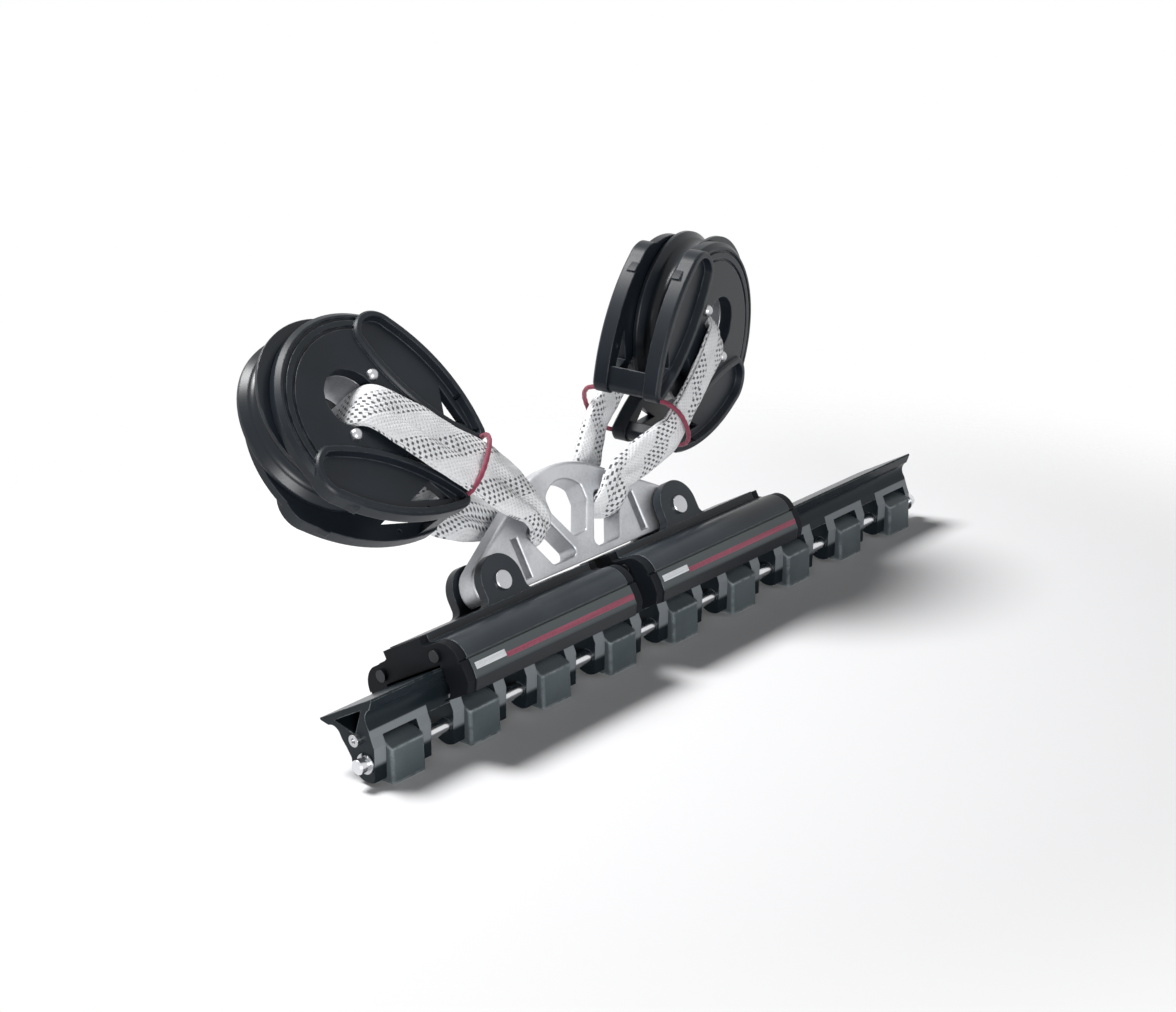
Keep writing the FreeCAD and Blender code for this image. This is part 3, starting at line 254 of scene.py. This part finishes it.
def anodised(name, dark, light, wear_and_highlight_colour, roughness, grain, edge, gloss, along=1.0, band=None):
    """Anodised aluminium: colour clouds, fine grain, paler edges (wear and painted highlight); along
    stretches the grain.

    band colours a band of the side faces and what lies below it: a painted highlight on the track's legs;
    on the cars a foil band, with the lip below it painted dark as painted shade. It gives the two colours,
    the way up, the band's foot and top on it, and the half length and pitch of the band's pieces if it is
    cut.
    """
    cloud_scale = 28.0
    cloud_share = 0.85
    mottle_span = (0.32, 0.68)
    patch_scale = 260.0
    patch_span = (0.3, 0.62)
    wear_and_highlight_reach = 0.000112
    wear_and_highlight_strength = 0.75
    streak_rough = 0.03
    cloud_rough = 0.06
    grain_height = 0.00001
    coat = Finish(name)
    rounded = coat.soft_normal(edge)
    streaks = coat.noise(grain, detail=2.0, vector=coat.stretched((along, 1, 1)))
    clouds = coat.noise(cloud_scale)
    mottle = coat.step(clouds * cloud_share + streaks * (1 - cloud_share), *mottle_span)
    patches = coat.step(coat.noise(patch_scale, detail=2.0), *patch_span)
    # Paler edges: partly wear where the coating is thin, partly a painted highlight along the rims.
    wear_and_highlight = coat.edges(rounded, wear_and_highlight_reach / edge) * patches
    colour = coat.blend(wear_and_highlight * wear_and_highlight_strength, coat.blend(mottle, dark, light), wear_and_highlight_colour)
    if band:
        paler, under, rise, foot, top, cuts = band
        side_span = (0.6, 0.4)
        top_blur = 0.0004
        foot_blur = 0.0012
        under_blur = 0.0006
        cut_blur = 0.0003
        level = coat.dot(coat.place(), rise)
        on_side = coat.step(abs(coat.part(coat.true_normal(), "X")), *side_span)
        between = (coat.step(level, top + top_blur, top - top_blur)
                   * coat.step(level, foot - foot_blur, foot + foot_blur) * on_side)
        if cuts:
            half, pitch = cuts
            from_middle = (coat.part(coat.place(), "X") / pitch + 0.5).math("FRACT") - 0.5
            between = between * coat.step(abs(from_middle) * pitch, half + cut_blur, half - cut_blur)
        # Below the foot, on the cars, the lip is painted dark: painted shade.
        colour = coat.blend(coat.step(level, foot, foot - under_blur), colour, under)
        # The band on the track's legs is a painted highlight; on the cars it is foil.
        colour = coat.blend(between, colour, paler)
    rough = roughness + streaks * streak_rough + clouds * cloud_rough
    normal = coat.bump(streaks, grain_height, rounded, strength=0.4)
    return coat.finish(coat.surface(Base_Color=colour, Roughness=rough, Specular_IOR_Level=gloss,
                                    Normal=normal))


chock_count = 9
chocks = ["chock_%d" % (index + 1) for index in range(chock_count)]
dress(chocks, anodised("chock_casting", dark=(0.07, 0.088, 0.096, 1), light=(0.105, 0.126, 0.135, 1),
                       wear_and_highlight_colour=(0.42, 0.46, 0.48, 1), roughness=0.36, grain=900.0, edge=0.002, gloss=0.25))


# The hinge rod, pins, rings and screws: polished stainless steel with fine turning marks. The rings
# snap into grooves of the rod and the pins. The screws of the caps and the spacer bars are blackened.
def polished(name, colour, roughness):
    """Polished steel: turning marks along it, and soft darker smudges."""
    edge = 0.0004
    mark_scale = 1500.0
    mark_stretch = (0.08, 1, 1)
    mark_height = 0.00002
    mark_rough = 0.1
    smudge_scale = 120.0
    smudge_shade = 0.86
    smudge_rough = 0.08
    steel = Finish(name)
    marks = steel.noise(mark_scale, detail=2.0, vector=steel.stretched(mark_stretch))
    smudges = steel.noise(smudge_scale)
    smudged = tuple(part * smudge_shade for part in colour[:3]) + (1,)
    rough = roughness + marks * mark_rough + smudges * smudge_rough
    normal = steel.bump(marks, mark_height, steel.soft_normal(edge), strength=0.5)
    return steel.finish(steel.surface(Base_Color=steel.blend(smudges, colour, smudged), Metallic=1.0,
                                      Roughness=rough, Normal=normal))


stainless = polished("stainless", colour=(0.52, 0.53, 0.55, 1), roughness=0.2)
blackened = polished("blackened_steel", colour=(0.05, 0.052, 0.056, 1), roughness=0.3)
dress(["hinge_rod"], polished("ground_rod", colour=(0.74, 0.75, 0.77, 1), roughness=0.14))
dress(["left_rod_ring", "right_rod_ring", "track_end_screws"], stainless)
for side in ("left", "right"):
    dress([side + "_hinge_pin", side + "_hinge_pin_ring", side + "_hub_screws"], stainless)
    dress([side + "_car_cap_screws", side + "_bar_screws"], blackened)


# The track: one dark anodised extrusion, milled away between the legs that straddle the chocks. Die
# lines run along it. The side faces of the legs are painted paler: a painted highlight.
joints = {joint["name"]: joint for joint in frame["joints"]}
swing_left = Vector(joints["left_block_swing"]["axis"])
swing_right = Vector(joints["right_block_swing"]["axis"])
track_x = Vector((1, 0, 0))
track_y = swing_left.cross(swing_right).normalized()
track_z = track_x.cross(track_y)
rod_place = Vector(joints["track_tilt"]["pos_m"])
rod_level = rod_place.dot(track_z)
leg_foot = -0.0026
leg_top = 0.0128
leg_half = 0.0178
chock_pitch = 0.05
track_dark = (0.01, 0.015, 0.019, 1)
# The paler grey on the side faces of the legs is a painted highlight.
leg_painted_highlight = (0.2, 0.22, 0.235, 1)
leg_highlight_band = (leg_painted_highlight, track_dark, track_z, rod_level + leg_foot, rod_level + leg_top,
               (leg_half, chock_pitch))
dress(["track"], anodised("track_extrusion", dark=track_dark, light=(0.013, 0.019, 0.024, 1),
                          wear_and_highlight_colour=(0.3, 0.33, 0.35, 1), roughness=0.26, grain=1400.0, edge=0.0007,
                          gloss=0.12, along=0.02, band=leg_highlight_band))


# The cars: dark blue grey anodised extrusions, closed by moulded black end caps that are screwed on.
# They run on plastic balls in the races of the track. A paler band of foil goes along each sloping
# side, above a lip painted darker as painted shade.
def moulded(name, dark, light, wear_and_highlight_colour, roughness, grain_height, gloss):
    """Moulded nylon: a fine leathery grain, soft sheen, and paler edges, partly wear and partly a painted
    highlight.
    """
    edge = 0.0009
    grain_scale = 1900.0
    grain_rough = 0.1
    cloud_scale = 22.0
    cloud_span = (0.3, 0.7)
    cloud_rough = 0.1
    patch_scale = 180.0
    patch_span = (0.35, 0.65)
    wear_and_highlight_strength = 0.6
    nylon = Finish(name)
    rounded = nylon.soft_normal(edge)
    grain = nylon.noise(grain_scale, detail=2.0)
    clouds = nylon.noise(cloud_scale)
    base = nylon.blend(nylon.step(clouds, *cloud_span), dark, light)
    # Paler edges: partly wear, partly a painted highlight along the rims.
    wear_and_highlight = nylon.edges(rounded) * nylon.step(nylon.noise(patch_scale), *patch_span)
    colour = nylon.blend(wear_and_highlight * wear_and_highlight_strength, base, wear_and_highlight_colour)
    rough = roughness + grain * grain_rough + clouds * cloud_rough
    normal = nylon.bump(grain, grain_height, rounded, strength=0.5)
    return nylon.finish(nylon.surface(Base_Color=colour, Roughness=rough, Specular_IOR_Level=gloss,
                                      Normal=normal))


tape_foot = 0.0158
tape_top = 0.0262
tape_grey = (0.075, 0.088, 0.092, 1)
# The lip below the foil is painted darker: painted shade.
lip_painted_shade = (0.006, 0.008, 0.011, 1)
foil_and_lip_shade = (tape_grey, lip_painted_shade, track_z, rod_level + tape_foot, rod_level + tape_top, None)
dress(["left_car_shell", "right_car_shell"],
      anodised("car_shell", dark=(0.021, 0.027, 0.034, 1), light=(0.034, 0.042, 0.05, 1),
               wear_and_highlight_colour=(0.26, 0.29, 0.32, 1), roughness=0.3, grain=1600.0, edge=0.0007, gloss=0.28,
               along=0.015, band=foil_and_lip_shade))
cap_plastic = moulded("cap_plastic", dark=(0.004, 0.005, 0.007, 1), light=(0.007, 0.009, 0.012, 1),
                      wear_and_highlight_colour=(0.04, 0.046, 0.052, 1), roughness=0.45, grain_height=0.00003, gloss=0.12)
bearing_plastic = moulded("bearing_plastic", dark=(0.62, 0.6, 0.55, 1), light=(0.72, 0.7, 0.65, 1),
                          wear_and_highlight_colour=(0.8, 0.79, 0.75, 1), roughness=0.3, grain_height=0.00001, gloss=0.4)
for side in ("left", "right"):
    dress([side + "_car_left_cap", side + "_car_right_cap"], cap_plastic)
    dress([side + "_car_balls", side + "_rollers"], bearing_plastic)


# The bridge: a thick plate of aluminium, machined, then tumbled to a bright satin. It couples the two
# cars, by a pin through the ears of each.
def satin(name, dark, light, roughness):
    """Tumbled aluminium: a fine peened surface with faint clouds."""
    edge = 0.0008
    peen_scale = 700.0
    peen_height = 0.00004
    peen_rough = 0.12
    cloud_scale = 45.0
    cloud_share = 0.7
    cloud_rough = 0.1
    mottle_span = (0.35, 0.65)
    metal = Finish(name)
    tumbled = metal.noise(peen_scale, detail=4.0)
    clouds = metal.noise(cloud_scale, detail=4.0)
    mottle = metal.step(clouds * cloud_share + tumbled * (1 - cloud_share), *mottle_span)
    rough = roughness + tumbled * peen_rough + clouds * cloud_rough
    normal = metal.bump(tumbled, peen_height, metal.soft_normal(edge), strength=0.5)
    return metal.finish(metal.surface(Base_Color=metal.blend(mottle, dark, light), Metallic=1.0,
                                      Roughness=rough, Normal=normal))


dress(["bridge"], satin("bridge_alloy", dark=(0.42, 0.43, 0.45, 1), light=(0.56, 0.57, 0.59, 1),
                        roughness=0.36))


# The stripe and the blank plate on the near side of each car: thin foils with a fine brushed print,
# stuck to the sloping facet.
facet_heights = (0.0150, 0.0200, 0.0250)
facet_depths = (-0.0340, -0.0345, -0.0342)
foil_lift = 0.00012
rim_lift = 0.00001
foil_rows = 8
foil_columns = 40
car_left_ends = (-0.17455, -0.04025)
car_length = 0.1228
plate_start = 0.0070
plate_end = 0.0268
plate_low = 0.0192
plate_high = 0.0224
stripe_inset = 0.0052
stripe_low = 0.0179
stripe_high = 0.0207
stripe_taper = 0.0004


def on_facet(x, z, lift):
    """A place on the facet: x along the track, z above the rod, and lift clear of the surface."""
    y = float(np.interp(z, facet_heights, facet_depths)) - lift
    return rod_place + track_x * x + track_y * y + track_z * z


def foil(name, start, end, low, high, taper, material):
    """A foil between two ends and two heights; taper is what its left end loses in height."""
    corners = []
    for column in range(foil_columns + 1):
        share = column / foil_columns
        x = start + (end - start) * share
        bottom = low + taper * (1 - share)
        for row in range(foil_rows + 1):
            z = bottom + (high - bottom) * row / foil_rows
            from_rim = min(row, foil_rows - row, column, foil_columns - column)
            corners.append(on_facet(x, z, foil_lift if from_rim else rim_lift))
    faces = []
    for column in range(foil_columns):
        for row in range(foil_rows):
            first = column * (foil_rows + 1) + row
            faces.append((first, first + foil_rows + 1, first + foil_rows + 2, first + 1))
    made = new_object(name, mesh_of(name, corners, faces))
    made.data.materials.append(material)
    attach(made, "carriage")


def printed(name, dark, light, roughness):
    """Foil with a brushed print: fine lines along the car."""
    line_scale = 2600.0
    line_stretch = (0.01, 1, 1)
    line_share = 0.7
    line_height = 0.00002
    brush_span = (0.38, 0.62)
    mottle_scale = 900.0
    mottle_rough = 0.2
    ink = Finish(name)
    lines = ink.noise(line_scale, detail=2.0, vector=ink.stretched(line_stretch))
    mottle = ink.noise(mottle_scale, detail=2.0)
    brushed = ink.step(lines * line_share + mottle * (1 - line_share), *brush_span)
    return ink.finish(ink.surface(Base_Color=ink.blend(brushed, dark, light),
                                  Roughness=roughness + mottle * mottle_rough,
                                  Normal=ink.bump(lines, line_height, strength=0.4)))


pale_foil = printed("plate_foil", dark=(0.62, 0.64, 0.66, 1), light=(0.76, 0.78, 0.8, 1), roughness=0.35)
red_foil = printed("stripe_foil", dark=(0.21, 0.035, 0.068, 1), light=(0.29, 0.07, 0.11, 1), roughness=0.4)
for side, car_left in zip(("left", "right"), car_left_ends):
    foil(side + "_car_plate", car_left + plate_start, car_left + plate_end, plate_low, plate_high,
         0.0, pale_foil)
    foil(side + "_car_stripe", car_left + plate_end, car_left + car_length - stripe_inset, stripe_low,
         stripe_high, stripe_taper, red_foil)


# The loop blocks: cheeks, sheave and spacer bars moulded in black nylon, on a machined hub. Screws
# hold the cheeks to the hub and to the bars, and the sheave turns on rollers round the hub.
cheek_plastic = moulded("block_plastic", dark=(0.006, 0.009, 0.013, 1), light=(0.012, 0.016, 0.022, 1),
                        wear_and_highlight_colour=(0.12, 0.135, 0.155, 1), roughness=0.28, grain_height=0.00004, gloss=0.24)
sheave_plastic = moulded("sheave_plastic", dark=(0.007, 0.01, 0.014, 1), light=(0.013, 0.017, 0.023, 1),
                         wear_and_highlight_colour=(0.1, 0.112, 0.128, 1), roughness=0.2, grain_height=0.00002, gloss=0.28)
hub_alloy = satin("hub_alloy", dark=(0.36, 0.37, 0.39, 1), light=(0.5, 0.51, 0.53, 1), roughness=0.3)
for side in ("left", "right"):
    dress([side + "_near_cheek", side + "_far_cheek", side + "_spacer_bars"], cheek_plastic)
    dress([side + "_sheave"], sheave_plastic)
    dress([side + "_hub"], hub_alloy)


# The loops: each is one endless band of white braid, flattened, with dark tracer yarns. It runs
# through the hub and round the bridge, and two layers lie on each other where it is tight.
cheek_outer = 0.017
loop_gap = 0.0003
saddle_radius = 0.006
saddle_drop = 0.0072
band_radius = 0.0095
line_drop = 0.068
quarter_turn = 90
arc_step = 10

# The band's width and thickness, and the depth of its crease as a share of crease_depth.
waist = (0.0245, 0.0065, 0.35)
leg = (0.0278, 0.0084, 0.9)
tied = (0.0302, 0.0086, 0.5)
below_line = (0.0306, 0.0088, 0.9)
half_way = (0.0275, 0.0094, 1.0)
neck = (0.0166, 0.009, 1.0)
settled = {"left": 1.0, "right": 0.7}
crease_depth = 0.003
sag = 0.0024

# The rows of a leg: the distance from the hub, the share of the sag, and the band's measures.
leg_rows = (
    (0.034, 0.4, leg),
    (0.05, 1, leg),
    (line_drop - 0.004, 1, tied),
    (line_drop, 1, tied),
    (line_drop + 0.005, 1, below_line),
)
ring_spacing = 0.0011
ring_points = 56
smoothing = 2.4
uv_scale = 10.0


def block_frame(side):
    """Hub, pivot and directions of a block: x across, y along its axis, z away from the bridge."""
    hub = Vector(joints[side + "_sheave_spin"]["pos_m"])
    pivot = Vector(joints[side + "_block_swing"]["pos_m"])
    along_axis = Vector(joints[side + "_sheave_spin"]["axis"]).normalized()
    away = (hub - pivot).normalized()
    across = along_axis.cross(away).normalized()
    return hub, pivot, across, along_axis, away


def turned(first, second, degrees):
    """The first direction, turned towards the second."""
    angle = math.radians(degrees)
    return first * math.cos(angle) + second * math.sin(angle)


def loop_stations(side):
    """Stations round the loop: place, direction across, direction outwards, width, thickness, crease."""
    hub, pivot, across, along_axis, away = block_frame(side)
    band_across = Vector(joints[side + "_block_swing"]["axis"]).normalized()
    down = track_y.cross(band_across)
    lower = across * math.copysign(sag, -across.z)
    saddle_bend = saddle_radius + loop_gap + waist[1] / 2
    neck_bend = band_radius + neck[1] / 2
    halves = []
    for mirror in (-1, 1):
        outward = along_axis * mirror
        band_out = track_y * mirror
        corner = hub + outward * (cheek_outer - saddle_radius) - away * (saddle_drop + saddle_radius)
        part = []
        for degrees in range(0, quarter_turn + arc_step, arc_step):
            out = turned(away, outward, degrees)
            part.append((corner + out * saddle_bend, across, out, *waist))
        for drop, hang, (wide, thick, crease) in leg_rows:
            reach = cheek_outer + loop_gap + thick / 2
            place = hub + outward * reach - away * drop + lower * hang
            part.append((place, across, outward, wide * settled[side], thick, crease))
        wide, thick, crease = half_way
        part.append(((place + (pivot + band_out * neck_bend)) / 2, (across + band_across).normalized(),
                     (outward + band_out).normalized(), wide * settled[side], thick, crease))
        for degrees in range(0, quarter_turn, arc_step):
            out = turned(band_out, down, degrees)
            part.append((pivot + out * neck_bend, band_across, out, *neck))
        halves.append(part)
    bottom = [(pivot + down * neck_bend, band_across, down, *neck)]
    return halves[0] + bottom + halves[1][::-1]


def smoothed(rows, width):
    """A closed row of vectors, each averaged with its neighbours as far as three widths away."""
    reach = int(width * 3)
    shifts = range(-reach, reach + 1)
    weights = np.exp(-0.5 * (np.array(shifts) / width) ** 2)
    weights /= weights.sum()
    return sum(weight * np.roll(rows, shift, axis=0) for shift, weight in zip(shifts, weights))


def resampled(stations):
    """Evenly spaced, smoothed rings: rows of place, across, outwards and shape, three numbers each."""
    rows = np.array([[*place, *across, *out, *shape] for place, across, out, *shape in stations])
    closed = np.vstack([rows, rows[:1]])
    runs = np.linalg.norm(np.diff(closed[:, :3], axis=0), axis=1)
    distance = np.concatenate([[0], np.cumsum(runs)])
    spots = np.linspace(0, distance[-1], int(distance[-1] / ring_spacing), endpoint=False)
    even = np.stack([np.interp(spots, distance, column) for column in closed.T], axis=1)
    return smoothed(even, smoothing)


def unit_rows(rows):
    """Rows of vectors, each made one long."""
    return rows / np.linalg.norm(rows, axis=1)[:, None]


def braid_outline(width, thickness, crease):
    """A flattened braid's section: two layers, a groove at each edge, and a crease along the middle."""
    squareness = 0.55
    groove_height = 0.2
    groove_depth = 0.16
    crown = 0.42
    crease_width = 0.09
    angles = np.linspace(0, 2 * math.pi, ring_points, endpoint=False)
    flat = np.sign(np.cos(angles)) * np.abs(np.cos(angles)) ** squareness
    tall = np.sign(np.sin(angles)) * np.abs(np.sin(angles)) ** squareness
    groove = np.exp(-(tall / groove_height) ** 2) * thickness * groove_depth
    x = flat * width / 2 - np.sign(flat) * groove
    falling = 1.0 - crown * (x / (width / 2)) ** 2
    dent = np.exp(-(x / (width * crease_width)) ** 2) * crease_depth * crease
    y = tall * thickness / 2 * falling - np.sign(tall) * dent * np.abs(tall)
    return x, y


def make_loop(side, material):
    """One loop: rings of the braid's section on its stations. Its UV map is metres times uv_scale."""
    ripple_height = 0.00022
    ripple_along = 420.0
    ripple_skew = 260.0
    ripple_across = 900.0
    ripple_drift = 0.11
    stations = resampled(loop_stations(side))
    count = len(stations)
    centres = stations[:, :3]
    tangents = unit_rows(np.roll(centres, -1, axis=0) - np.roll(centres, 1, axis=0))
    out = stations[:, 6:9]
    out = unit_rows(out - tangents * np.sum(out * tangents, axis=1)[:, None])
    across = np.cross(tangents, out)
    corners = []
    around = []
    for ring in range(count):
        x, y = braid_outline(*stations[ring, 9:12])
        ripple = (ripple_height * np.sin(ring * ring_spacing * ripple_along + x * ripple_skew)
                  * np.sin(x * ripple_across + ring * ripple_drift))
        points = centres[ring] + np.outer(x, across[ring]) + np.outer(y + ripple * np.sign(y), out[ring])
        corners.extend(points)
        steps = np.linalg.norm(np.diff(np.vstack([points, points[:1]]), axis=0), axis=1)
        around.append(np.concatenate([[0], np.cumsum(steps)]))
    faces = []
    spots = []
    for ring in range(count):
        after = (ring + 1) % count
        low = ring * ring_spacing
        high = (ring + 1) * ring_spacing
        for point in range(ring_points):
            beside = (point + 1) % ring_points
            faces.append((ring * ring_points + point, ring * ring_points + beside,
                          after * ring_points + beside, after * ring_points + point))
            spots.extend([(around[ring][point], low), (around[ring][point + 1], low),
                          (around[after][point + 1], high), (around[after][point], high)])
    mesh = mesh_of(side + "_woven_loop", corners, faces)
    layer = mesh.uv_layers.new(name="weave")
    layer.data.foreach_set("uv", np.array(spots, np.float32).ravel() * uv_scale)
    mesh.polygons.foreach_set("use_smooth", [True] * len(faces))
    mesh.materials.append(material)
    made = new_object(side + "_woven_loop", mesh)
    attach(made, side + "_block")
    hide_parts(side + "_loop")


def woven(name):
    """White braid with tracer yarns, its hollows painted darker as painted shade. Its sizes are in
    millimetres round and along the band.
    """
    millimetres = 1000.0 / uv_scale
    yarn_width = 1.2
    yarn_height = 0.00022
    fleck_lane = 1.9
    fleck_spacing = 3.6
    fleck_outer = 0.899
    fleck_inner = 0.609
    fleck_slant = 0.3
    fleck_flatness = 1.2
    fleck_strength = 0.9
    fleck_sink = 0.3
    lane_shift = 0.5
    helix_width = 33.0
    helix_pitch = 38.0
    helix_start = 0.38
    helix_span = (0.26, 0.23)
    shade_scale = 60.0
    shade_span = (0.3, 0.7)
    hollow_shade_span = (0.9, -0.3)
    hollow_shade_strength = 0.14
    dull_white = (0.82, 0.83, 0.85, 1)
    clean_white = (0.91, 0.92, 0.93, 1)
    hollow_painted_shade = (0.5, 0.51, 0.55, 1)
    tracer_dark = (0.022, 0.024, 0.036, 1)
    cloth = Finish(name)
    weave = cloth.node("ShaderNodeUVMap", {"uv_map": "weave"})
    around = cloth.part(weave, "X") * millimetres
    along = cloth.part(weave, "Y") * millimetres
    rising = ((along + around) * (math.pi / yarn_width)).math("SINE")
    falling = ((along - around) * (math.pi / yarn_width)).math("SINE")
    relief = rising.math("MAXIMUM", falling)
    helix = (around / helix_width - along / helix_pitch + helix_start).math("FRACT")
    in_band = cloth.step(abs(helix - 0.5), *helix_span)
    lane = around / fleck_lane
    shift = lane.math("FLOOR") * lane_shift
    cell_x = ((along / fleck_spacing + shift).math("FRACT") - 0.5) * fleck_spacing
    cell_y = (lane.math("FRACT") - 0.5) * fleck_lane
    reach = abs(cell_x + cell_y * fleck_slant).math("MAXIMUM", abs(cell_y) * fleck_flatness)
    fleck = cloth.step(reach, fleck_outer, fleck_inner) * in_band
    white = cloth.blend(cloth.step(cloth.noise(shade_scale), *shade_span), dull_white, clean_white)
    # The hollows of the weave are painted grey: painted shade.
    hollow_shade = cloth.step(relief, *hollow_shade_span) * hollow_shade_strength
    colour = cloth.blend(fleck * fleck_strength, cloth.blend(hollow_shade, white, hollow_painted_shade), tracer_dark)
    normal = cloth.bump(relief - fleck * fleck_sink, yarn_height, strength=0.55)
    return cloth.finish(cloth.surface(Base_Color=colour, Roughness=0.82, Sheen_Weight=0.25,
                                      Sheen_Roughness=0.5, Normal=normal))


braid = woven("woven_loop")
for side in ("left", "right"):
    make_loop(side, braid)


# The retaining lines: thin crimson cords of three strands. Each is drawn tight over a leg of a loop,
# and tied into a lobe at either end.
cord_radius = 0.0012
cord_foot = 0.0175
cord_rise = 0.0295
lobe_face = 0.0188
shoulder = 0.82
strand_count = 3
strand_depth = 0.09
strand_pitch = 0.0042
cord_steps = 90
cord_sides = 20


def cord_path(side, mirror):
    """The arch of one line over its leg of the loop, from one lobe to the other."""
    hub, _, across, along_axis, away = block_frame(side)
    spots = []
    for step in range(cord_steps + 1):
        angle = math.pi * (step / cord_steps - 0.5)
        reach = math.copysign(abs(math.sin(angle)) ** shoulder, angle) * cord_foot
        height = lobe_face + (cord_rise - lobe_face) * math.cos(angle)
        spots.append(hub + across * reach + along_axis * mirror * height - away * line_drop)
    return np.array(spots)


def make_lines(side, material):
    """Both lines of a block, as twisted tubes with closed ends."""
    sideways = np.array(block_frame(side)[4])
    corners = []
    faces = []
    for mirror in (-1, 1):
        path = cord_path(side, mirror)
        start = len(corners)
        normals = np.cross(unit_rows(np.gradient(path, axis=0)), sideways)
        distance = 0.0
        for index, spot in enumerate(path):
            if index:
                distance += np.linalg.norm(path[index] - path[index - 1])
            twist = distance / strand_pitch * 2 * math.pi / strand_count
            for point in range(cord_sides):
                angle = 2 * math.pi * point / cord_sides
                bulge = 1 + strand_depth * math.cos(strand_count * (angle + twist))
                arm = sideways * math.cos(angle) + normals[index] * math.sin(angle)
                corners.append(spot + arm * cord_radius * bulge)
        for index in range(cord_steps):
            low = start + index * cord_sides
            high = low + cord_sides
            for point in range(cord_sides):
                beside = (point + 1) % cord_sides
                faces.append((low + point, low + beside, high + beside, high + point))
        end = start + cord_steps * cord_sides
        faces.append(tuple(range(start, start + cord_sides)))
        faces.append(tuple(reversed(range(end, end + cord_sides))))
    mesh = mesh_of(side + "_crimson_lines", corners, faces)
    mesh.polygons.foreach_set("use_smooth", [True] * len(faces))
    mesh.materials.append(material)
    made = new_object(side + "_crimson_lines", mesh)
    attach(made, side + "_block")
    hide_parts(side + "_retaining_lines")


def corded(name, dark, light):
    """Laid cord: fine fibres with a soft sheen."""
    fibre_scale = 2400.0
    fibre_height = 0.0002
    fibre_span = (0.35, 0.65)
    yarn = Finish(name)
    fibres = yarn.noise(fibre_scale)
    colour = yarn.blend(yarn.step(fibres, *fibre_span), dark, light)
    return yarn.finish(yarn.surface(Base_Color=colour, Roughness=0.75, Sheen_Weight=0.2,
                                    Sheen_Roughness=0.5,
                                    Normal=yarn.bump(fibres, fibre_height, strength=0.5)))


crimson = corded("retaining_cord", dark=(0.16, 0.02, 0.045, 1), light=(0.3, 0.045, 0.085, 1))
for side in ("left", "right"):
    make_lines(side, crimson)
